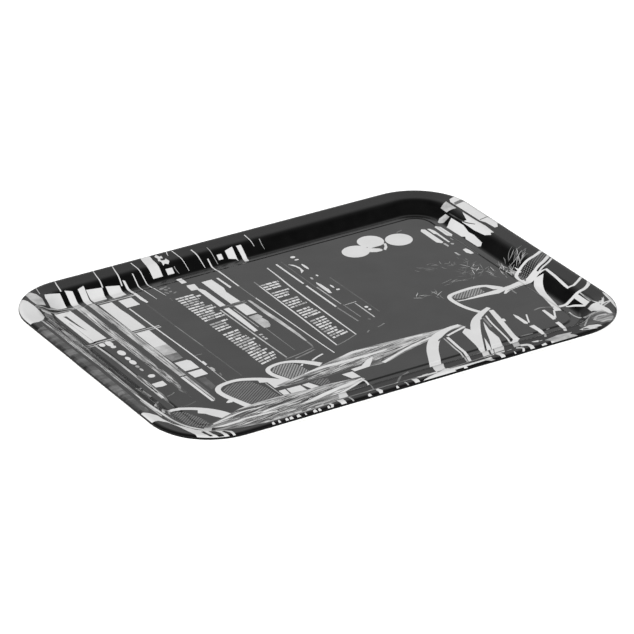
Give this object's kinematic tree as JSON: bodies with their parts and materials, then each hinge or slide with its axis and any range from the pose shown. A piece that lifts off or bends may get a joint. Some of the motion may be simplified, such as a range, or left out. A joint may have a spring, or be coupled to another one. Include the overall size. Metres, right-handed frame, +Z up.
{
  "type": "serving tray",
  "caption": "Rounded rectangular serving tray pressed from bonded sheets, with a printed face, a low sloping rim with a turned-down lip, and a white sealed edge.",
  "frame": {"origin": "centre of the tray, on the plane that its foot ring rests on", "axes": "+X along the long sides, +Y along the short sides, +Z up out of the tray"},
  "size_m": [0.46, 0.332, 0.0138],
  "materials": {
    "decor_face": "glossy melamine over a black and white print",
    "core_ply": "resin-bonded birch veneer",
    "backing": "satin white melamine",
    "edge_seal": "satin white sealer"
  },
  "bodies": {
    "root": {"decor_face_sheet": "decor_face", "core_ply_1": "core_ply", "core_ply_2": "core_ply", "core_ply_3": "core_ply", "core_ply_4": "core_ply", "core_ply_5": "core_ply", "backing_sheet": "backing", "edge_seal_bead": "edge_seal"}
  },
  "joints": []
}
